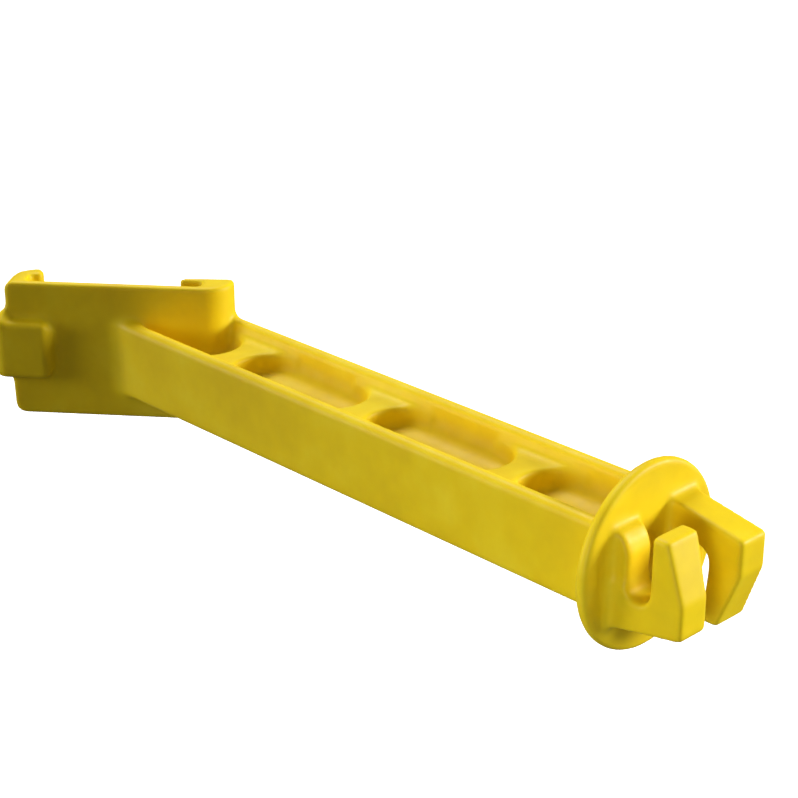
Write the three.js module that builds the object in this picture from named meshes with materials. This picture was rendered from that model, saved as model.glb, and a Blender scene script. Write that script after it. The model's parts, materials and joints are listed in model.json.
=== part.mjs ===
// Extension insulator for an electric fence: a clip for the flange of a steel T-post, a
// ribbed arm that holds the wire 127 mm (5 in) from the post, and a twist-in wire holder on a
// round rain flange. The arm leaves the post plate at an oblique angle.
//
// Units are millimetres, +Z is up. The origin is on the face that bears on the post, where the
// arm's axis meets it. The arm points along -Y, and the fence wire runs along X.

import * as THREE from 'three';

// ---- driving dimensions ----------------------------------------------------------------------

const GAP = 0.3;               // between members that touch
const EDGE_FINE = 0.3;         // chamfers on the moulding's edges
const EDGE = 0.4;
const EDGE_SOFT = 0.8;
const WIRE_RADIUS = 1.25;      // 12.5 gauge fence wire
const STAND_OFF = 127;         // post face to wire, along the arm

// post clip: its own X runs across the post, its own Y goes back through the post
const OBLIQUE = THREE.MathUtils.degToRad(50);   // between the arm and the plate's normal
const PLATE = 2;               // wall in front of the post
const CLIP_TOP = 15.4;
const CLIP_BOTTOM = -12.8;
const FLANGE_LEFT = -32;       // pocket for a 35 mm wide post flange
const FLANGE_RIGHT = 3.6;
const FLANGE_DEPTH = 3.3;      // flange thickness that the fixed hook holds
const JAW_PLAY = 0.4;          // extra depth behind the flange at the jaw

const RIGHT_END = 9.9;         // fixed side: solid root of the right rail
const RIGHT_BACK = 5.05;
const RIGHT_RADIUS = 5.5;
const RIGHT_BACK_RADIUS = 1;
const FIXED_LIP = 5;           // fixed hook's reach behind the flange
const HOOK_TAPER = 0.6;        // how much thinner the hook gets towards its tip

const LEFT_END = -36;          // snap side: the jaw
const JAW_LINE = -26.3;        // where the plate flexes
const JAW_BACK = 7.4;
const JAW_RADIUS = 5;
const JAW_CORNER = 0.6;
const JAW_LIP = 2.4;           // jaw hook's reach behind the flange
const JAW_RAMP = 1;            // sloped edges of the jaw hook's tip

const GRIP_PROUD = 2.5;        // thumb grip, wrapped round the jaw's corner
const GRIP_BACK = 3.5;
const GRIP_TOP = 7.6;
const GRIP_BOTTOM = -4.4;

// arm
const ARM_HALF = 10;           // half the width over the rails
const RAIL = 3;                // rail thickness
const RAIL_HALF = 8;           // half the rail height
const RIB_HALF = 5.4;          // half the height of the ribs
const WEB_HALF = 1.2;          // half the web thickness
const POCKET_START = 19.5;     // distances from the post face along the arm
const POCKET_PITCH = 36.9;
const RIB_WIDTH = 5.5;
const POCKET_RADIUS = 7;

// rain flange
const DISC_BACK = 118.1;
const DISC_FRONT = 120.2;
const DISC_RADIUS = 16.3;
const DISC_EDGE = 0.6;

// wire holder: the two sides are half a turn apart about the arm's axis
const HOLDER_END = 134.7;
const HOLDER_HALF = 10.5;
const HOLDER_INNER = 3.9;      // half the gap between the two prongs
const ROOT_AT_DISC = 8.9;      // root's height below the axis at the disc
const ROOT_AT_END = 6.2;
const SLOT_FLOOR = 2.4;        // slot's closed end, below the axis
const SLOT_WIDTH = 4.8;
const SLOT_OUTER = STAND_OFF + WIRE_RADIUS;    // the wire's outer side bears on the prong
const SLOT_INNER = SLOT_OUTER - SLOT_WIDTH;    // slot wall on the block's side
const PRONG_TIP = 9.8;         // prong's height above the axis
const PRONG_TIP_OUTER = 131.3;
const BLOCK_HALF = 10;
const BLOCK_TOP = 7.9;
const BLOCK_TOP_DEPTH = 1.9;   // how far the block stands out at its top
const BLOCK_SHOULDER = 2.3;

// ---- helpers ---------------------------------------------------------------------------------

function yellowPlastic() {
  return new THREE.MeshStandardMaterial({ color: 0xe8c818, roughness: 0.45, metalness: 0 });
}

// A closed prism: an outline, given as [x, y] points, extruded along Z from low to high. The
// edge is the chamfer round both ends, kept inside the outline.
function prism(name, points, low, high, edge = 0) {
  const outline = new THREE.Shape(points.map(([x, y]) => new THREE.Vector2(x, y)));
  const geometry = new THREE.ExtrudeGeometry(outline, {
    depth: high - low - 2 * edge,
    bevelEnabled: edge > 0,
    bevelThickness: edge,
    bevelSize: edge,
    bevelOffset: -edge,
    bevelSegments: 1,
  });
  const mesh = new THREE.Mesh(geometry, yellowPlastic());
  mesh.name = name;
  mesh.position.z = low + edge;
  return mesh;
}

// Points on an arc, both ends included. Angles are in degrees.
function arc(x, y, radius, from, to, steps = 6) {
  const points = [];
  for (let i = 0; i <= steps; i += 1) {
    const angle = THREE.MathUtils.degToRad(from + ((to - from) * i) / steps);
    points.push([x + radius * Math.cos(angle), y + radius * Math.sin(angle)]);
  }
  return points;
}

// ---- post clip -------------------------------------------------------------------------------

function postPlate() {
  const points = [
    [JAW_LINE + GAP / 2, -PLATE],
    [FLANGE_RIGHT - GAP, -PLATE],
    [FLANGE_RIGHT - GAP, 0],
    [JAW_LINE + GAP / 2, 0],
  ];
  return prism('post_plate', points, CLIP_BOTTOM, CLIP_TOP);
}

function rightWall() {
  const points = [
    [FLANGE_RIGHT, -PLATE],
    ...arc(RIGHT_END - RIGHT_RADIUS, RIGHT_RADIUS - PLATE, RIGHT_RADIUS, -90, 0, 8),
    ...arc(
      RIGHT_END - RIGHT_BACK_RADIUS, RIGHT_BACK - RIGHT_BACK_RADIUS, RIGHT_BACK_RADIUS, 0, 90, 3,
    ),
    [FLANGE_RIGHT, RIGHT_BACK],
  ];
  return prism('right_wall', points, CLIP_BOTTOM, CLIP_TOP, EDGE);
}

function rightHook() {
  const tip = FLANGE_RIGHT - FIXED_LIP;
  const points = [
    [tip, FLANGE_DEPTH + EDGE_FINE],
    [tip + EDGE_SOFT, FLANGE_DEPTH],
    [FLANGE_RIGHT - GAP, FLANGE_DEPTH],
    [FLANGE_RIGHT - GAP, RIGHT_BACK],
    [tip + EDGE, RIGHT_BACK - HOOK_TAPER],
    [tip, RIGHT_BACK - HOOK_TAPER - EDGE_FINE],
  ];
  return prism('right_hook', points, CLIP_BOTTOM, CLIP_TOP, EDGE_FINE);
}

function jawPlate() {
  const points = [
    [FLANGE_LEFT + GAP, -PLATE],
    [JAW_LINE - GAP / 2, -PLATE],
    [JAW_LINE - GAP / 2, 0],
    [FLANGE_LEFT + GAP, 0],
  ];
  return prism('jaw_plate', points, CLIP_BOTTOM, CLIP_TOP);
}

function leftWall() {
  const points = [
    [FLANGE_LEFT, -PLATE],
    [FLANGE_LEFT, JAW_BACK],
    ...arc(LEFT_END + JAW_RADIUS, JAW_BACK - JAW_RADIUS, JAW_RADIUS, 102, 180, 8),
    ...arc(LEFT_END + JAW_CORNER, JAW_CORNER - PLATE, JAW_CORNER, 180, 270, 2),
  ];
  return prism('left_wall', points.reverse(), CLIP_BOTTOM, CLIP_TOP, EDGE);
}

function leftHook() {
  const front = FLANGE_DEPTH + JAW_PLAY;
  const tip = FLANGE_LEFT + JAW_LIP;
  const points = [
    [FLANGE_LEFT + GAP, front],
    [tip - EDGE_SOFT, front],
    [tip, front + JAW_RAMP],
    [tip, JAW_BACK - JAW_RAMP],
    [tip - JAW_RAMP, JAW_BACK],
    [FLANGE_LEFT + GAP, JAW_BACK],
  ];
  return prism('left_hook', points, CLIP_BOTTOM, CLIP_TOP, EDGE_FINE);
}

// The grip is an angle: one leg on the front of the jaw, the other round its left side.
function thumbGrip() {
  const front = -PLATE - GRIP_PROUD;
  const side = LEFT_END - GRIP_PROUD;
  const points = [
    [JAW_LINE - GAP / 2, -PLATE - GAP],
    [LEFT_END - GAP, -PLATE - GAP],
    [LEFT_END - GAP, GRIP_BACK],
    [side + EDGE_SOFT, GRIP_BACK],
    [side, GRIP_BACK - EDGE_SOFT],
    ...arc(side + GRIP_PROUD, front + GRIP_PROUD, GRIP_PROUD, 180, 270, 5),
    [JAW_LINE - GAP / 2 - EDGE_SOFT, front],
    [JAW_LINE - GAP / 2, front + EDGE_SOFT],
  ];
  return prism('thumb_grip', points, GRIP_BOTTOM, GRIP_TOP, EDGE);
}

function postClip() {
  const clip = new THREE.Group();
  clip.rotation.z = -OBLIQUE;
  clip.add(postPlate(), rightWall(), rightHook());
  clip.add(jawPlate(), leftWall(), leftHook(), thumbGrip());
  return clip;
}

// ---- arm -------------------------------------------------------------------------------------

// The clip's front surface as the arm sees it, less the gap: the flat plate as far as X_TANGENT,
// then the right wall's rounded corner.
const FRONT = -PLATE - GAP;
const CORNER = [RIGHT_END - RIGHT_RADIUS, RIGHT_RADIUS - PLATE];
const X_TANGENT = CORNER[0] * Math.cos(OBLIQUE) + FRONT * Math.sin(OBLIQUE);
const X_CORNER = CORNER[0] * Math.cos(OBLIQUE) + CORNER[1] * Math.sin(OBLIQUE);
const Y_CORNER = CORNER[1] * Math.cos(OBLIQUE) - CORNER[0] * Math.sin(OBLIQUE);

function clipFront(x) {
  if (x <= X_TANGENT) {
    return (FRONT - x * Math.sin(OBLIQUE)) / Math.cos(OBLIQUE);
  }
  return Y_CORNER - Math.sqrt((RIGHT_RADIUS + GAP) ** 2 - (x - X_CORNER) ** 2);
}

// Points along the clip's front, from a low X to a high one: two on the flat plate, and several
// round the corner.
function clipFrontLine(low, high, steps = 8) {
  const points = low < X_TANGENT ? [[low, clipFront(low)]] : [];
  const curveStart = Math.max(low, X_TANGENT);
  if (high <= curveStart) {
    return [...points, [high, clipFront(high)]];
  }
  for (let i = 0; i <= steps; i += 1) {
    const x = curveStart + ((high - curveStart) * i) / steps;
    points.push([x, clipFront(x)]);
  }
  return points;
}

function rail(name, low, high) {
  const end = -DISC_BACK + GAP;
  const points = [[low, end], [high, end], ...clipFrontLine(low, high, 2).reverse()];
  return prism(name, points, -RAIL_HALF, RAIL_HALF, EDGE_SOFT);
}

const INFILL = ARM_HALF - RAIL - GAP;

function web() {
  const end = -DISC_BACK + GAP;
  const points = [[-INFILL, end], [INFILL, end], ...clipFrontLine(-INFILL, INFILL).reverse()];
  return prism('web', points, -WEB_HALF, WEB_HALF);
}

// The round end of a pocket, from one rail to the other. The side is 1 where the pocket lies
// on the post's side of the edge, and -1 where it lies on the wire's side.
function pocketEnd(edge, side, steps = 8) {
  const centre = -edge + side * POCKET_RADIUS;
  const reach = THREE.MathUtils.radToDeg(Math.asin(INFILL / POCKET_RADIUS));
  const points = arc(0, centre, POCKET_RADIUS, -90 - reach, -90 + reach, steps);
  return side === 1 ? points : points.map(([x, y]) => [x, 2 * centre - y]);
}

// A cross rib between the rails, above and below the web. Rib 0 closes the short pocket in front
// of the post.
function rib(name, index) {
  const wireSide = POCKET_START + index * POCKET_PITCH;
  const points = [...pocketEnd(wireSide, -1), ...pocketEnd(wireSide - RIB_WIDTH, 1).reverse()];
  return [
    prism(`${name}_upper`, points, WEB_HALF + GAP, RIB_HALF),
    prism(`${name}_lower`, points, -RIB_HALF, -WEB_HALF - GAP),
  ];
}

function rainFlange() {
  const half = (DISC_FRONT - DISC_BACK) / 2;
  const profile = [
    [0, -half],
    [DISC_RADIUS - DISC_EDGE, -half],
    [DISC_RADIUS, DISC_EDGE - half],
    [DISC_RADIUS, half - DISC_EDGE],
    [DISC_RADIUS - DISC_EDGE, half],
    [0, half],
  ].map(([x, y]) => new THREE.Vector2(x, y));
  const mesh = new THREE.Mesh(new THREE.LatheGeometry(profile, 48), yellowPlastic());
  mesh.name = 'rain_flange';
  mesh.position.y = -(DISC_BACK + DISC_FRONT) / 2;
  return mesh;
}

function arm() {
  const group = new THREE.Group();
  group.add(rail('left_rail', -ARM_HALF, RAIL - ARM_HALF));
  group.add(rail('right_rail', ARM_HALF - RAIL, ARM_HALF));
  group.add(web(), ...rib('root_rib', 0), ...rib('rib_a', 1), ...rib('rib_b', 2), rainFlange());
  return group;
}

// ---- wire holder -----------------------------------------------------------------------------

// One side of the holder. Outlines are drawn as [distance along the arm, height], with the root
// below the axis and the prong rising above it, and extruded away from the axis.
function holderSide(side) {
  const start = DISC_FRONT + GAP;
  const root = [
    [start, -ROOT_AT_DISC],
    [HOLDER_END - EDGE_SOFT, -ROOT_AT_END],
    [HOLDER_END, EDGE_SOFT - ROOT_AT_END],
    [HOLDER_END, -SLOT_FLOOR],
    [start, -SLOT_FLOOR],
  ];
  const foot = GAP - SLOT_FLOOR;
  const prong = [
    [SLOT_OUTER, foot],
    [HOLDER_END, foot],
    [HOLDER_END, 0],
    [PRONG_TIP_OUTER, PRONG_TIP - EDGE],
    [PRONG_TIP_OUTER - EDGE, PRONG_TIP],
    [SLOT_OUTER + EDGE, PRONG_TIP],
    [SLOT_OUTER, PRONG_TIP - EDGE],
  ];
  const block = [
    [start, foot],
    [SLOT_INNER, foot],
    [SLOT_INNER, BLOCK_SHOULDER],
    [DISC_FRONT + BLOCK_TOP_DEPTH, BLOCK_TOP - EDGE],
    [DISC_FRONT + BLOCK_TOP_DEPTH - EDGE, BLOCK_TOP],
    [start, BLOCK_TOP],
  ];
  return [
    prism(`holder_root_${side}`, root, HOLDER_INNER, HOLDER_HALF, EDGE_FINE),
    prism(`prong_${side}`, prong, HOLDER_INNER, HOLDER_HALF, EDGE_FINE),
    prism(`slot_block_${side}`, block, HOLDER_INNER, BLOCK_HALF, EDGE_FINE),
  ];
}

function wireHolder() {
  const left = new THREE.Group();
  left.rotation.x = Math.PI / 2;
  left.add(...holderSide('left'));
  const right = new THREE.Group();
  right.rotation.x = -Math.PI / 2;
  right.add(...holderSide('right'));
  const holder = new THREE.Group();
  holder.rotation.z = -Math.PI / 2;
  holder.add(left, right);
  return holder;
}

const insulator = new THREE.Group();
insulator.add(postClip(), arm(), wireHolder());

export default insulator;
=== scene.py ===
"""The looks of a fence insulator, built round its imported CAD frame.

The real object is one soft-edged moulding, so the shape is one distance field: every member is a
simple form, the forms melt into each other with fillets, and the field's surface is meshed on a
lattice. Each lattice point belongs to the member nearest to it, so the surface comes out as one
closed mesh for each CAD node, and neighbouring meshes meet exactly.

The field works in millimetres in the row frame: X along the fence wire, -Y along the arm, +Z up.
The clip has its own axes, "across" the post and "depth" back through it.
"""

import json
import math

import bpy
import numpy as np
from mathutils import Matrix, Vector


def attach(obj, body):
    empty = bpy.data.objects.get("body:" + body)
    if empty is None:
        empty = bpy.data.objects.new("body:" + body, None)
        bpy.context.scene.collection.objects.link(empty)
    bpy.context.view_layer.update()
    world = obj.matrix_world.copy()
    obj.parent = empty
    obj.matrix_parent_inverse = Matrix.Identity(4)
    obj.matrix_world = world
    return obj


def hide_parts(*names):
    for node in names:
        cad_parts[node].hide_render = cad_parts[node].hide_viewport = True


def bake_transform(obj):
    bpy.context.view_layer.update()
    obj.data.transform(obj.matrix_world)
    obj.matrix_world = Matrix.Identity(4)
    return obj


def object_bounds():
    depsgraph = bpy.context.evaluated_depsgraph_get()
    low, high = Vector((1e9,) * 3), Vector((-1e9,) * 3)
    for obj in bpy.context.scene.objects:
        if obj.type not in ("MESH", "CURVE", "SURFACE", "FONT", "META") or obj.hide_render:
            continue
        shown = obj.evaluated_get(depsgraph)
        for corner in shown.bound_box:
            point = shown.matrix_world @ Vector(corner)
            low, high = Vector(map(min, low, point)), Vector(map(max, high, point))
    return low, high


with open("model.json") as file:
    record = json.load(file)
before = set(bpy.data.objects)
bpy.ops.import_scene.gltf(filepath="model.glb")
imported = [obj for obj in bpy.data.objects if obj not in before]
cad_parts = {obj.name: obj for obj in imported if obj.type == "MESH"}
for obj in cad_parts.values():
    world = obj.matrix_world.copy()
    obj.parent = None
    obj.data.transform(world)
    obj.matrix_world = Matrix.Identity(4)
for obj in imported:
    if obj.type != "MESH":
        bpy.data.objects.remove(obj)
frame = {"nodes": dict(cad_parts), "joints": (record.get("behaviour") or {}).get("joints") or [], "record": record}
cad_low, cad_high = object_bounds()

MM = 0.001
CELL = 0.4                  # lattice pitch
MARGIN = 2.4                # empty lattice round the object
SOFTNESS = 0.32             # standard deviation of the final blur, which rounds every edge
BORDER_DIP = 0.35           # of a cell: see dip_borders

# ---- sizes from the frame ------------------------------------------------------------------------

MOUNTS = {m["name"]: m for m in frame["record"]["mounts"]}
JOINT = frame["joints"][0]
POST_NORMAL = MOUNTS["post_face"]["axis"]
OBLIQUE = math.atan2(POST_NORMAL[0], POST_NORMAL[1])


def clip_axes(x, y):
    """Across-the-post and depth coordinates of a point in the row frame."""
    across = x * math.cos(OBLIQUE) - y * math.sin(OBLIQUE)
    depth = x * math.sin(OBLIQUE) + y * math.cos(OBLIQUE)
    return across, depth


def extent(node, in_clip=False):
    """Lowest and highest coordinates of a CAD node, in millimetres."""
    points = np.array([v.co for v in frame["nodes"][node].data.vertices], float) / MM
    if in_clip:
        points[:, 0], points[:, 1] = clip_axes(points[:, 0].copy(), points[:, 1].copy())
    return points.min(0), points.max(0)


PLATE = extent("post_plate", True)
RIGHT_WALL = extent("right_wall", True)
RIGHT_HOOK = extent("right_hook", True)
LEFT_WALL = extent("left_wall", True)
LEFT_HOOK = extent("left_hook", True)
GRIP = extent("thumb_grip", True)
JAW_LINE, JAW_FRONT = clip_axes(JOINT["pos_m"][0] / MM, JOINT["pos_m"][1] / MM)
LEFT_RAIL = extent("left_rail")
RIGHT_RAIL = extent("right_rail")
WEB = extent("web")
DISC = extent("rain_flange")
RIBS = {name: extent(f"{name}_upper") for name in ("root_rib", "rib_a", "rib_b")}
RIB_TOP = RIBS["root_rib"][1][2]
SIDES = {
    side: {part: extent(f"{part}_{side}") for part in ("holder_root", "prong", "slot_block")}
    for side in ("left", "right")
}

# ---- sizes of the moulding's details -------------------------------------------------------------

OVERLAP = 1.0               # how far forms run into each other
RIGHT_CORNER = 5.5          # radius of the clip's right front corner
RIGHT_BACK_CORNER = 1.2
LEFT_BACK_CORNER = 6.3
LEFT_LEAN = 0.8             # how far the clip's left end leans in towards its lower edge
LEFT_CHAMFER = 0.6          # the clip's left front corner, which is under the grip
CLIP_CORNER = 2.0           # corners of the clip seen from the front
CLIP_EDGE = 0.5             # its top and bottom edges
POCKET_CORNER = 0.8         # inside corners of the post pocket
HOOK_CORNER = 0.7           # front corners of both hooks' tips
HOOK_BEVEL = (0.8, 0.5)     # back corner of the fixed hook's tip
JAW_BEVEL = (1.2, 1.6)      # back corner of the snap hook's tip
GRIP_CORNER = 2.5           # front corner of the grip seen from above
GRIP_FRONT_CORNER = 2.5     # its right-hand corners seen from the front
GRIP_BACK_CHAMFER = 1.0
GRIP_SIDE_CHAMFER = 1.2
GRIP_EDGE = 1.1
GRIP_ROOT = (1.5, 0.8)      # how far the grip runs into the clip's end and into the plate
RAIL_EDGE = 1.45            # rounding along the rails
POCKET_RADIUS = 7.0         # round ends of the arm's pockets
RIB_HALF_WIDTH = 2.75
RIB_EDGE = 0.7
DISC_EDGE = 0.7
PRONG_TIP_WIDTH = 3.1       # along the arm
ROOT_RISE = 2.7             # how much the holder's outer side rises from the disc to its end
ROOT_SPREAD = 0.2           # how much lower that side starts than the CAD's
ROOT_CORNER = 0.4           # chamfer at its end
BLOCK_TOP_DEPTH = 2.6       # slot block: how far its top stands out from the disc
BLOCK_SHOULDER = 4.6        # height up to which its front is upright
BLOCK_BEVEL = (1.1, 1.4)    # its top front edge
SLOT_ROUND = 0.9            # the slot's floor is this much of a half circle
HOLDER_EDGE = 0.5
PRONG_LEAN = 0.9            # how far a prong's inner face leans over the gap at its tip

FILLET_CLIP = 1.6           # how softly each pair of forms melts together
FILLET_GRIP = 1.4
FILLET_GRIP_SIDE = 4.5      # the softer fillet at the top of the grip, beside the clip's end
FILLET_DISC = 3.0
FILLET_HOLDER = 1.4
FILLET_WEB = 5.5
FILLET_RIB = 1.8
FILLET_SLOT = 0.8


# ---- distance fields -----------------------------------------------------------------------------

def polygon(points, u, v):
    """Signed distance to a closed outline in a plane, negative inside."""
    corners = [np.array(p, np.float32) for p in points]
    nearest = np.full(np.broadcast(u, v).shape, np.inf, np.float32)
    sign = np.ones_like(nearest)
    for a, b in zip(corners, corners[1:] + corners[:1]):
        edge = b - a
        du, dv = u - a[0], v - a[1]
        along = np.clip((du * edge[0] + dv * edge[1]) / (edge @ edge), 0, 1)
        nearest = np.minimum(nearest, (du - edge[0] * along) ** 2 + (dv - edge[1] * along) ** 2)
        above, below = v >= a[1], v < b[1]
        left = edge[0] * dv > edge[1] * du
        crossing = (above & below & left) | (~above & ~below & ~left)
        sign = np.where(crossing, -sign, sign)
    return sign * np.sqrt(nearest)


def slab(w, low, high):
    """Signed distance to the space between two parallel planes."""
    return np.abs(w - (low + high) / 2) - (high - low) / 2


def extrude(outline, along, edge=0.0):
    """A form from its outline's distance and its slab's, with its end edges rounded."""
    a, b = outline + edge, along + edge
    outside = np.sqrt(np.maximum(a, 0) ** 2 + np.maximum(b, 0) ** 2)
    return outside + np.minimum(np.maximum(a, b), 0) - edge


def melt(a, b, size):
    """Union of two fields, with a fillet where they meet."""
    near = np.maximum(size - np.abs(a - b), 0)
    return np.minimum(a, b) - near * near / (4 * size)


def rectangle(low, high):
    return [(low[0], low[1]), (high[0], low[1]), (high[0], high[1]), (low[0], high[1])]


def arc(centre, radius, start, end, steps=8):
    """Points on an arc. Angles are in degrees."""
    angles = np.radians(np.linspace(start, end, steps + 1))
    return [(centre[0] + radius * math.cos(t), centre[1] + radius * math.sin(t)) for t in angles]


def smoothstep(x, start, end):
    t = np.clip((x - start) / (end - start), 0, 1)
    return t * t * (3 - 2 * t)


# ---- lattice -------------------------------------------------------------------------------------

def axis_points(low, high):
    count = int(math.ceil((high - low + 2 * MARGIN) / CELL))
    return (low - MARGIN + CELL * np.arange(count + 1)).astype(np.float32)


GRID = [axis_points(cad_low[i] / MM, cad_high[i] / MM) for i in range(3)]
X = GRID[0][:, None, None]
Y = GRID[1][None, :, None]
Z = GRID[2][None, None, :]
ACROSS, DEPTH = clip_axes(X, Y)


# ---- forms ---------------------------------------------------------------------------------------

def clip_section():
    """The clip's outline from above: plate, both end walls and both hooks."""
    front, back = PLATE[0][1], PLATE[1][1]
    right, right_back = RIGHT_WALL[1][0], RIGHT_WALL[1][1]
    left, left_back = LEFT_WALL[0][0], LEFT_WALL[1][1]
    pocket_right, pocket_left = RIGHT_WALL[0][0], LEFT_WALL[1][0]
    hook_tip, hook_front = RIGHT_HOOK[0][0], RIGHT_HOOK[0][1]
    jaw_tip, jaw_front = LEFT_HOOK[1][0], LEFT_HOOK[0][1]
    corner, small, large = RIGHT_CORNER, RIGHT_BACK_CORNER, LEFT_BACK_CORNER
    inner = POCKET_CORNER
    return [
        (left + LEFT_CHAMFER, front),
        *arc((right - corner, front + corner), corner, -90, 0),
        *arc((right - small, right_back - small), small, 0, 90, 3),
        (hook_tip + HOOK_BEVEL[0], right_back - HOOK_BEVEL[1]),
        *arc((hook_tip + HOOK_CORNER, hook_front + HOOK_CORNER), HOOK_CORNER, 180, 270, 3),
        *arc((pocket_right - inner, hook_front - inner), inner, 90, 0, 3),
        *arc((pocket_right - inner, back + inner), inner, 0, -90, 3),
        *arc((pocket_left + inner, back + inner), inner, 270, 180, 3),
        *arc((pocket_left + inner, jaw_front - inner), inner, 180, 90, 3),
        *arc((jaw_tip - HOOK_CORNER, jaw_front + HOOK_CORNER), HOOK_CORNER, -90, 0, 3),
        (jaw_tip, left_back - JAW_BEVEL[1]),
        (jaw_tip - JAW_BEVEL[0], left_back),
        *arc((left + large, left_back - large), large, 100, 180),
        (left, front + LEFT_CHAMFER),
    ]


def clip_form():
    low, high = PLATE[0][2], PLATE[1][2]
    form = extrude(polygon(clip_section(), ACROSS, DEPTH), slab(Z, low, high), CLIP_EDGE)
    left, corner = LEFT_WALL[0][0], CLIP_CORNER
    lean = left + LEFT_LEAN * (high - Z) / (high - low)
    corner_across = np.maximum(lean + corner - ACROSS, 0)
    corner_height = np.maximum(np.abs(Z - (low + high) / 2) - (high - low) / 2 + corner, 0)
    front_view = np.sqrt(corner_across ** 2 + corner_height ** 2) - corner
    return np.maximum(form, front_view)


def grip_section():
    low, high = GRIP
    corner, back, side = GRIP_CORNER, GRIP_BACK_CHAMFER, GRIP_SIDE_CHAMFER
    in_end, in_plate = LEFT_WALL[0][0] + GRIP_ROOT[0], PLATE[1][1] - GRIP_ROOT[1]
    return [
        (JAW_LINE, in_plate),
        (in_end, in_plate),
        (in_end, high[1]),
        (low[0] + back, high[1]),
        (low[0], high[1] - back),
        *arc((low[0] + corner, low[1] + corner), corner, 180, 270),
        (high[0] - side, low[1]),
        (high[0], low[1] + side),
    ]


def grip_form():
    low, high = GRIP[0][2], GRIP[1][2]
    outline = polygon(grip_section(), ACROSS, DEPTH)
    corner = GRIP_FRONT_CORNER
    past_side = np.maximum(ACROSS - GRIP[1][0] + corner, 0)
    past_end = np.maximum(slab(Z, low, high) + corner, 0)
    front_view = np.sqrt(past_side ** 2 + past_end ** 2) - corner
    return np.maximum(extrude(outline, slab(Z, low, high), GRIP_EDGE), front_view)


# The plate's front turns into the clip's right corner at this X.
TANGENT = (RIGHT_WALL[1][0] - RIGHT_CORNER) * math.cos(OBLIQUE) + PLATE[0][1] * math.sin(OBLIQUE)


def inside_clip(x):
    """A Y inside the plate or the clip's right corner, where a form that joins them may end."""
    depth = PLATE[0][1] / 2
    return (depth - min(x, TANGENT) * math.sin(OBLIQUE)) / math.cos(OBLIQUE)


def from_clip(low, high, end):
    """The outline between two X values from Y = end back to the inside of the clip."""
    back = [(x, inside_clip(x)) for x in (high, TANGENT, low) if low <= x <= high]
    return [(low, end), (high, end), *back]


def rail_form(low, high):
    outline = from_clip(low[0], high[0], DISC[0][1] + OVERLAP)
    return extrude(polygon(outline, X, Y), slab(Z, low[2], high[2]), RAIL_EDGE)


def arm_envelope():
    """The bar that the whole arm fits in, so that the coves between the rails don't swell it."""
    return rail_form(LEFT_RAIL[0], RIGHT_RAIL[1])


def web_form():
    """The floor between the rails. It runs a little way into each."""
    left, right = LEFT_RAIL[1][0] - OVERLAP, RIGHT_RAIL[0][0] + OVERLAP
    outline = from_clip(left, right, DISC[0][1] + OVERLAP)
    return extrude(polygon(outline, X, Y), slab(Z, WEB[0][2], WEB[1][2]))


def rib_form(middle):
    """A cross rib: a bar between the rails, hollowed by the round ends of two pockets."""
    bar = slab(Y, middle - RIB_HALF_WIDTH - POCKET_RADIUS, middle + RIB_HALF_WIDTH + POCKET_RADIUS)
    for side in (-1, 1):
        centre = middle + side * (RIB_HALF_WIDTH + POCKET_RADIUS)
        bar = np.maximum(bar, POCKET_RADIUS - np.sqrt(X ** 2 + (Y - centre) ** 2))
    bar = np.maximum(bar, slab(X, LEFT_RAIL[0][0] + OVERLAP, RIGHT_RAIL[1][0] - OVERLAP))
    return extrude(bar, slab(Z, -RIB_TOP, RIB_TOP), RIB_EDGE)


def disc_form():
    radius = DISC[1][0]
    return extrude(np.sqrt(X ** 2 + Z ** 2) - radius, slab(Y, DISC[0][1], DISC[1][1]), DISC_EDGE)


def holder_forms(side):
    """The hooked prong and the slot block of one side, each as an outline seen along the wire.
    The right side is the left one turned half a turn about the arm."""
    turn = 1 if side == "left" else -1
    root, prong, block = (SIDES[side][p] for p in ("holder_root", "prong", "slot_block"))
    end, disc = root[0][1], DISC[0][1] + OVERLAP
    slot_outer, slot_inner = prong[1][1], block[0][1]
    floor = -min(abs(root[0][2]), abs(root[1][2]))
    bottom = -max(abs(root[0][2]), abs(root[1][2]))
    tip = max(abs(prong[0][2]), abs(prong[1][2]))
    block_top = max(abs(block[0][2]), abs(block[1][2]))
    slot = (slot_outer + slot_inner) / 2
    half_slot = (slot_inner - slot_outer) / 2
    hook = [
        (disc, bottom - ROOT_SPREAD),
        (end + ROOT_CORNER, bottom + ROOT_RISE),
        (end, bottom + ROOT_RISE + ROOT_CORNER),
        (end, 0.0),
        (slot_outer - PRONG_TIP_WIDTH, tip),
        (slot_outer, tip),
        *arc((slot, floor + half_slot * SLOT_ROUND), half_slot, 180, 360),
        (disc, floor + half_slot),
    ]
    top_front = DISC[0][1] - BLOCK_TOP_DEPTH
    shoulder = [
        (disc, floor - OVERLAP),
        (slot_inner, floor - OVERLAP),
        (slot_inner, BLOCK_SHOULDER),
        (top_front, block_top - BLOCK_BEVEL[1]),
        (top_front + BLOCK_BEVEL[0], block_top),
        (disc, block_top),
    ]
    height = Z * turn
    inner, outer = sorted((abs(root[0][0]), abs(root[1][0])))
    block_outer = max(abs(block[0][0]), abs(block[1][0]))
    out = -X * turn
    inner_face = inner - PRONG_LEAN * smoothstep(height, 0, tip)
    hook_form = extrude(polygon(hook, Y, height), slab(out, inner_face, outer), HOLDER_EDGE)
    block_form = extrude(polygon(shoulder, Y, height), slab(out, inner, block_outer), HOLDER_EDGE)
    return hook_form, block_form


def weld_sides(holder):
    """The four forms of the wire holder as one field."""
    hooks = [melt(hook, block, FILLET_SLOT) for hook, block in holder.values()]
    return np.minimum(*hooks)


# ---- the moulding's field and its members --------------------------------------------------------

def rib_middle(name):
    low, high = RIBS[name]
    return (low[1] + high[1]) / 2


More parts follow.
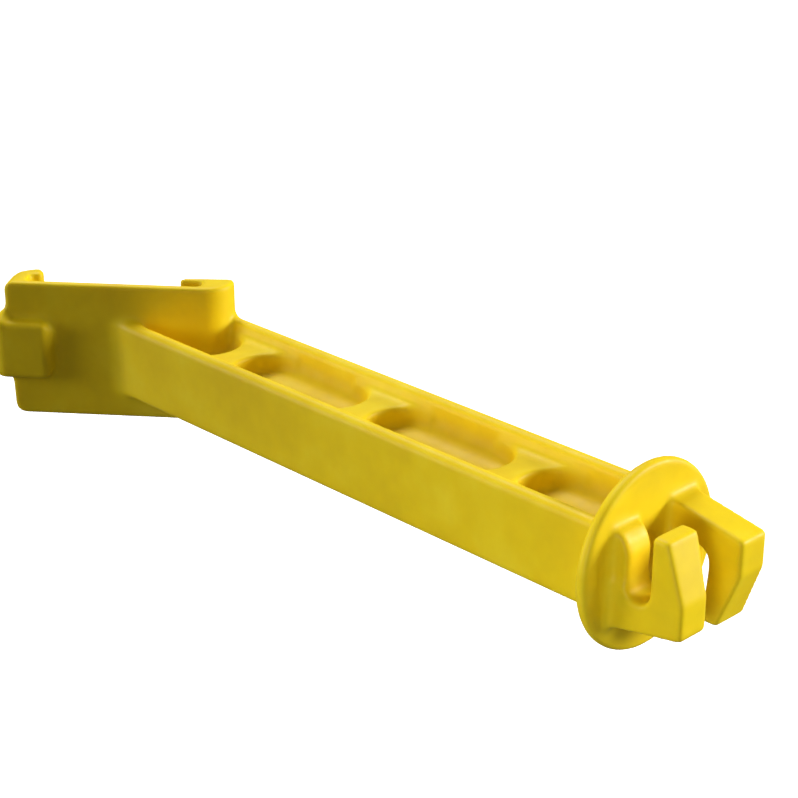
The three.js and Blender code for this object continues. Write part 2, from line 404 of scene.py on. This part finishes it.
def member_fields(forms):
    """Each CAD node's own form, one at a time: a lattice point belongs to the nearest."""
    in_clip = {
        "post_plate": ((JAW_LINE, PLATE[0][1]), (RIGHT_WALL[0][0], PLATE[1][1])),
        "jaw_plate": ((LEFT_WALL[1][0], PLATE[0][1]), (JAW_LINE, PLATE[1][1])),
        "right_wall": (RIGHT_WALL[0], RIGHT_WALL[1]),
        "right_hook": ((RIGHT_HOOK[0][0], RIGHT_HOOK[0][1]), (RIGHT_WALL[0][0], RIGHT_HOOK[1][1])),
        "left_wall": (LEFT_WALL[0], LEFT_WALL[1]),
        "left_hook": ((LEFT_WALL[1][0], LEFT_HOOK[0][1]), (LEFT_HOOK[1][0], LEFT_HOOK[1][1])),
    }
    for name, (low, high) in in_clip.items():
        outline = polygon(rectangle(low, high), ACROSS, DEPTH)
        yield name, extrude(outline, slab(Z, PLATE[0][2], PLATE[1][2]))
    yield "thumb_grip", np.maximum(forms["grip"], -forms["clip"])
    yield "left_rail", forms["left_rail"]
    yield "right_rail", forms["right_rail"]
    yield "web", forms["web"]
    halves = {"upper": -Z, "lower": Z}
    for half, cut in halves.items():
        for name in RIBS:
            yield f"{name}_{half}", np.maximum(forms[name], cut + WEB[1][2])
    yield "rain_flange", forms["disc"]
    for side, (hook, block) in forms["holder"].items():
        turn = 1 if side == "left" else -1
        floor = -min(abs(SIDES[side]["holder_root"][i][2]) for i in (0, 1))
        above = floor - Z * turn
        yield f"holder_root_{side}", np.maximum(hook, -above)
        yield f"prong_{side}", np.maximum(hook, above)
        yield f"slot_block_{side}", np.maximum(block, above)


def make_forms():
    forms = {
        "clip": clip_form(),
        "grip": grip_form(),
        "left_rail": rail_form(*LEFT_RAIL),
        "right_rail": rail_form(*RIGHT_RAIL),
        "web": web_form(),
        "disc": disc_form(),
        "holder": {side: holder_forms(side) for side in SIDES},
    }
    forms.update({name: rib_form(rib_middle(name)) for name in RIBS})
    return forms


def moulding(forms):
    """The whole surface: the forms melted together, with the fillets of a real moulding."""
    arm = forms["web"]
    for name in ("left_rail", "right_rail"):
        arm = melt(arm, forms[name], FILLET_WEB)
    for name in RIBS:
        arm = melt(arm, forms[name], FILLET_RIB)
    arm = np.maximum(arm, arm_envelope())
    arm = melt(arm, forms["disc"], FILLET_DISC)
    arm = melt(arm, weld_sides(forms["holder"]), FILLET_HOLDER)
    whole = melt(arm, forms["clip"], FILLET_CLIP)
    above_grip = smoothstep(Z, GRIP[1][2] - 3, GRIP[1][2])
    beside_clip = smoothstep(-ACROSS, -LEFT_WALL[0][0] - 1.5, -LEFT_WALL[0][0] + 0.5)
    extra = (FILLET_GRIP_SIDE - FILLET_GRIP) * above_grip * beside_clip
    return melt(whole, forms["grip"], FILLET_GRIP + extra)


def blur(field, sigma):
    """Gaussian blur along all three axes, which rounds every edge of the field's surface."""
    reach = int(math.ceil(3 * sigma / CELL))
    weights = np.exp(-0.5 * (np.arange(-reach, reach + 1) * CELL / sigma) ** 2)
    weights = (weights / weights.sum()).astype(np.float32)
    for axis in range(3):
        width = [(reach, reach) if i == axis else (0, 0) for i in range(3)]
        padded = np.pad(field, width, mode="edge")
        count = field.shape[axis]
        parts = [w * np.take(padded, range(k, k + count), axis) for k, w in enumerate(weights)]
        field = sum(parts)
    return field


# ---- meshing -------------------------------------------------------------------------------------

def nearest_member(forms, shape):
    """The index of the member that each lattice point belongs to, and the members' names."""
    names = []
    best = np.full(shape, np.inf, np.float32)
    owner = np.zeros(shape, np.int16)
    for name, field in member_fields(forms):
        field = np.broadcast_to(field, shape)
        closer = field < best
        best[closer] = field[closer]
        names.append(name)
        owner[closer] = len(names)
    return names, owner


def shifted(array, axis, low, high):
    """A view of the lattice without its first low and last high layers along an axis."""
    cut = [slice(None)] * 3
    cut[axis] = slice(low, array.shape[axis] - high)
    return array[tuple(cut)]


def surface_points(field, material):
    """One point for each lattice cell that the surface or a border between members crosses, and
    whether the cell is on the outer surface."""
    cells = tuple(n - 1 for n in field.shape)
    outer_sum, outer_count = np.zeros((*cells, 3), np.float32), np.zeros(cells, np.float32)
    inner_sum, inner_count = np.zeros((*cells, 3), np.float32), np.zeros(cells, np.float32)
    for axis in range(3):
        a, b = shifted(field, axis, 0, 1), shifted(field, axis, 1, 0)
        ma, mb = shifted(material, axis, 0, 1), shifted(material, axis, 1, 0)
        outer = (a < 0) != (b < 0)
        inner = (ma != mb) & ~outer
        position = np.where(outer, a / np.where(outer, a - b, 1), 0.5)
        others = [i for i in range(3) if i != axis]
        for i in (0, 1):
            for j in (0, 1):
                cut = [slice(None)] * 3
                cut[others[0]] = slice(i, i + cells[others[0]])
                cut[others[1]] = slice(j, j + cells[others[1]])
                cut = tuple(cut)
                for where, total, count in (
                    (outer[cut], outer_sum, outer_count),
                    (inner[cut], inner_sum, inner_count),
                ):
                    total[..., axis] += np.where(where, position[cut], 0)
                    total[..., others[0]] += where * float(i)
                    total[..., others[1]] += where * float(j)
                    count += where
    on_surface = outer_count > 0
    total = np.where(on_surface[..., None], outer_sum, inner_sum)
    count = np.where(on_surface, outer_count, inner_count)
    points = total / np.maximum(count, 1)[..., None]
    for axis in range(3):
        steps = np.arange(cells[axis], dtype=np.float32)
        shape = [1, 1, 1]
        shape[axis] = -1
        points[..., axis] += steps.reshape(shape)
    return points.reshape(-1, 3), on_surface.ravel(), cells


def surface_quads(material, cells):
    """Quads between lattice points of different members, as cell indices with the member in
    front of which each one lies and the member behind it."""
    strides = (cells[1] * cells[2], cells[2], 1)
    quads, sides = [], []
    for axis in range(3):
        a, b = shifted(material, axis, 0, 1), shifted(material, axis, 1, 0)
        at = np.argwhere(a != b)
        others = [(axis + 1) % 3, (axis + 2) % 3]
        inside = np.all([(at[:, o] > 0) & (at[:, o] < cells[o]) for o in others], axis=0)
        at = at[inside]
        first = at @ np.array(strides)
        s, t = strides[others[0]], strides[others[1]]
        quads.append(np.stack([first - s - t, first - t, first, first - s], axis=1))
        sides.append(np.stack([a[tuple(at.T)], b[tuple(at.T)]], axis=1))
    return np.concatenate(quads), np.concatenate(sides)


def gradient_normals(field, points):
    """Outward unit normals of the field at lattice-space points."""
    base = np.clip(np.floor(points).astype(int), 0, np.array(field.shape) - 2)
    part = (points - base).astype(np.float32)
    slopes = np.gradient(field)
    normals = np.zeros_like(points)
    for axis in range(3):
        for corner in np.ndindex(2, 2, 2):
            weight = np.prod(np.where(corner, part, 1 - part), axis=1)
            normals[:, axis] += weight * slopes[axis][tuple((base + corner).T)]
    return normals / np.maximum(np.linalg.norm(normals, axis=1), 1e-9)[:, None]


def dip_borders(quads, sides, points, on_surface, normals):
    """Border quads that lie along the outer surface would show in its hollows, so each one gets
    a middle point just under the surface. Returns the points with those added, and for each
    quad the index of its middle point, or -1."""
    border = np.all(sides > 0, axis=1) & (on_surface[quads].sum(1) >= 3)
    middle = np.full(len(quads), -1)
    middle[border] = len(points) + np.arange(border.sum())
    inward = -normals[quads[border]].sum(1)
    inward /= np.maximum(np.linalg.norm(inward, axis=1), 1e-9)[:, None]
    added = points[quads[border]].mean(1) + inward * CELL * BORDER_DIP
    return np.concatenate([points, added]), middle


def fan(quads, middle):
    """The four triangles round each quad's middle point."""
    corners = [np.stack([quads[:, i], quads[:, (i + 1) % 4], middle], axis=1) for i in range(4)]
    return np.concatenate(corners)


def build_piece(name, quads, middle, is_outer, points, on_surface, normals):
    """A mesh from quads of cell indices. Outer faces take the field's normals, so that the
    shading runs on across the borders between members."""
    whole = middle < 0
    triangles = fan(quads[~whole], middle[~whole])
    quads = quads[whole]
    outer_corner = np.repeat(is_outer[whole], 4) & on_surface[quads.ravel()]
    loops = np.concatenate([quads.ravel(), triangles.ravel()])
    used, index = np.unique(loops, return_inverse=True)
    split = quads.size
    faces = index[:split].reshape(-1, 4).tolist() + index[split:].reshape(-1, 3).tolist()
    mesh = bpy.data.meshes.new(name)
    mesh.from_pydata((points[used] * MM).tolist(), [], faces)
    mesh.update()
    mesh.polygons.foreach_set("use_smooth", np.ones(len(faces), bool))
    flat = np.zeros(len(faces) * 3, np.float32)
    mesh.polygons.foreach_get("normal", flat)
    per_corner = np.repeat(flat.reshape(-1, 3), [len(face) for face in faces], axis=0)
    per_corner[:split][outer_corner] = normals[quads.ravel()][outer_corner]
    mesh.normals_split_custom_set(per_corner.tolist())
    piece = bpy.data.objects.new(name, mesh)
    bpy.context.scene.collection.objects.link(piece)
    return piece


def build_moulding():
    """Every member as its own closed mesh, named after its CAD node."""
    shape = tuple(len(g) for g in GRID)
    forms = make_forms()
    names, owner = nearest_member(forms, shape)
    field = blur(np.broadcast_to(moulding(forms), shape).astype(np.float32), SOFTNESS)
    material = np.where(field < 0, owner, 0)
    local, on_surface, cells = surface_points(field, material)
    quads, sides = surface_quads(material, cells)
    crossed = np.zeros(len(local), bool)
    crossed[quads.ravel()] = True
    normals = np.zeros_like(local)
    normals[crossed] = gradient_normals(field, local[crossed])
    origin = np.array([g[0] for g in GRID], np.float32)
    points, middle = dip_borders(quads, sides, local * CELL + origin, on_surface, normals)
    pieces = {}
    for index, name in enumerate(names, start=1):
        behind, ahead = sides[:, 0] == index, sides[:, 1] == index
        own = np.concatenate([quads[behind], quads[ahead][:, ::-1]])
        own_middle = np.concatenate([middle[behind], middle[ahead]])
        is_outer = np.concatenate([sides[behind][:, 1], sides[ahead][:, 0]]) == 0
        pieces[name] = build_piece(
            f"{name}_moulded", own, own_middle, is_outer, points, on_surface, normals
        )
    return pieces


# ---- material ------------------------------------------------------------------------------------

class Nodes:
    """A few short calls for building a node tree."""

    def __init__(self, name):
        self.material = bpy.data.materials.new(name)
        self.material.use_nodes = True
        self.tree = self.material.node_tree
        self.shader = self.tree.nodes["Principled BSDF"]
        self.place = self.tree.nodes.new("ShaderNodeTexCoord").outputs["Object"]

    def link(self, source, target):
        self.tree.links.new(source, target)

    def noise(self, scale, detail=3.0, roughness=0.5):
        node = self.tree.nodes.new("ShaderNodeTexNoise")
        node.inputs["Scale"].default_value = scale
        node.inputs["Detail"].default_value = detail
        node.inputs["Roughness"].default_value = roughness
        self.link(self.place, node.inputs["Vector"])
        return node.outputs["Fac"]

    def ramp(self, factor, stops):
        node = self.tree.nodes.new("ShaderNodeValToRGB")
        elements = node.color_ramp.elements
        while len(elements) < len(stops):
            elements.new(0.5)
        for element, (at, colour) in zip(elements, stops):
            element.position = at
            element.color = (*colour, 1.0)
        self.link(factor, node.inputs["Fac"])
        return node.outputs["Color"]

    def spread(self, factor, low, high):
        """A number from low to high as the factor goes from 0.3 to 0.7."""
        node = self.tree.nodes.new("ShaderNodeMapRange")
        limits = {"From Min": 0.3, "From Max": 0.7, "To Min": low, "To Max": high}
        for socket, value in limits.items():
            node.inputs[socket].default_value = value
        self.link(factor, node.inputs["Value"])
        return node.outputs["Result"]

    def mix(self, factor, a, b):
        node = self.tree.nodes.new("ShaderNodeMix")
        node.data_type = "RGBA"
        for socket, value in (("Factor", factor), ("A", a), ("B", b)):
            target = next(i for i in node.inputs if i.name == socket and i.enabled)
            if isinstance(value, bpy.types.NodeSocket):
                self.link(value, target)
            else:
                target.default_value = value if isinstance(value, float) else (*value, 1.0)
        return next(o for o in node.outputs if o.enabled)

    def bump(self, height, strength, distance, under=None):
        node = self.tree.nodes.new("ShaderNodeBump")
        node.inputs["Strength"].default_value = strength
        node.inputs["Distance"].default_value = distance
        self.link(height, node.inputs["Height"])
        if under is not None:
            self.link(under, node.inputs["Normal"])
        return node.outputs["Normal"]


YELLOW = (0.88, 0.64, 0.006)
DEEP_YELLOW = (0.80, 0.56, 0.005)
PALE_YELLOW = (0.93, 0.72, 0.02)
GRIME = (0.62, 0.46, 0.02)


def polyethylene():
    """Moulded yellow polyethylene: semi-matt, a little translucent, faintly mottled and dusty."""
    nodes = Nodes("yellow_polyethylene")
    flow = nodes.noise(70.0, 4.0, 0.55)
    base = nodes.ramp(flow, [(0.30, DEEP_YELLOW), (0.52, YELLOW), (0.72, PALE_YELLOW)])
    dust = nodes.noise(260.0, 6.0, 0.65)
    dusty = nodes.spread(dust, 0.0, 0.10)
    colour = nodes.mix(dusty, base, GRIME)
    nodes.link(colour, nodes.shader.inputs["Base Color"])
    rough = nodes.spread(nodes.noise(420.0, 4.0, 0.6), 0.42, 0.56)
    nodes.link(rough, nodes.shader.inputs["Roughness"])
    waves = nodes.bump(nodes.noise(160.0, 2.0), 0.12, 0.0004)
    peel = nodes.bump(nodes.noise(1500.0, 3.0, 0.6), 0.10, 0.00006, waves)
    nodes.link(peel, nodes.shader.inputs["Normal"])
    nodes.shader.inputs["Specular IOR Level"].default_value = 0.2
    nodes.shader.inputs["Subsurface Weight"].default_value = 0.12
    nodes.shader.inputs["Subsurface Radius"].default_value = (1.0, 0.7, 0.15)
    nodes.shader.inputs["Subsurface Scale"].default_value = 0.0012
    return nodes.material


def floor_material():
    nodes = Nodes("pale_floor")
    tone = nodes.ramp(nodes.noise(9.0), [(0.35, (0.88, 0.88, 0.87)), (0.65, (0.91, 0.91, 0.90))])
    nodes.link(tone, nodes.shader.inputs["Base Color"])
    nodes.shader.inputs["Roughness"].default_value = 0.9
    nodes.shader.inputs["Emission Color"].default_value = (1.0, 1.0, 1.0, 1.0)
    nodes.shader.inputs["Emission Strength"].default_value = 0.6
    return nodes.material


# ---- pieces on their bodies ----------------------------------------------------------------------

BENDING = ("post_plate", "jaw_plate", "thumb_grip")
BODIES = frame["record"]["behaviour"]["bodies"]
BODY_OF = {node: body for body, nodes in BODIES.items() for node in nodes}


def place_pieces(pieces):
    """Each piece stands for its CAD node. Those at the jaw line are not put on a body; their transform is baked
    in. The others ride on their bodies.
    """
    plastic = polyethylene()
    for node, piece in pieces.items():
        piece.data.materials.append(plastic)
        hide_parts(node)
        if node in BENDING:
            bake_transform(piece)
        else:
            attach(piece, BODY_OF[node])


# ---- floor, light and camera ---------------------------------------------------------------------

FLOOR_DROP = 0.045          # below the object's lowest point, because a post holds the object up
FLOOR_SIZE = 6.0
CAMERA_PLACE = (-0.215356, -0.28663, 0.139086)
CAMERA_AZIMUTH = -43.827
CAMERA_ELEVATION = 22.603
CAMERA_LENS = 85.57
SENSOR = 36.0


def make_floor():
    mesh = bpy.data.meshes.new("floor")
    half, height = FLOOR_SIZE / 2, cad_low[2] - FLOOR_DROP
    corners = [(-half, -half), (half, -half), (half, half), (-half, half)]
    mesh.from_pydata([(x, y, height) for x, y in corners], [], [(0, 1, 2, 3)])
    floor = bpy.data.objects.new("floor", mesh)
    bpy.context.scene.collection.objects.link(floor)
    floor.data.materials.append(floor_material())
    floor.visible_diffuse = False       # its bounce would light the plate, which is in shade
    floor.visible_glossy = False


def area_light(name, place, target, size, power, spread=180):
    data = bpy.data.lights.new(name, "AREA")
    data.shape = "DISK"
    data.size = size
    data.energy = power
    data.spread = math.radians(spread)
    light = bpy.data.objects.new(name, data)
    bpy.context.scene.collection.objects.link(light)
    light.location = place
    direction = light.location - Vector(target)
    light.rotation_euler = direction.to_track_quat("Z", "Y").to_euler()


def make_lights():
    middle = (cad_low + cad_high) / 2
    head = (0.0, DISC[0][1] * MM, 0.0)
    area_light("key", (0.62, -0.62, 0.22), middle, size=0.3, power=8.8)
    area_light("top", (0.20, 0.40, 0.85), middle, size=0.5, power=7.0)
    area_light("fill", (-0.80, 0.65, 0.20), middle, size=0.5, power=5.2)
    area_light("head_fill", (-0.30, -0.26, 0.06), head, size=0.12, power=0.027, spread=40)
    world = bpy.data.worlds.new("studio")
    bpy.context.scene.world = world
    world.use_nodes = True
    background = world.node_tree.nodes["Background"]
    background.inputs["Color"].default_value = (1.0, 1.0, 1.0, 1.0)
    background.inputs["Strength"].default_value = 0.11


def make_camera():
    data = bpy.data.cameras.new("camera")
    data.lens = CAMERA_LENS
    data.sensor_width = SENSOR
    data.clip_start, data.clip_end = 0.01, 20.0
    camera = bpy.data.objects.new("camera", data)
    bpy.context.scene.collection.objects.link(camera)
    camera.location = CAMERA_PLACE
    camera.rotation_euler = (math.radians(90 - CAMERA_ELEVATION), 0.0, math.radians(CAMERA_AZIMUTH))
    bpy.context.scene.camera = camera
    bpy.context.scene.view_settings.view_transform = "Standard"


make_camera()
place_pieces(build_moulding())
make_floor()
make_lights()
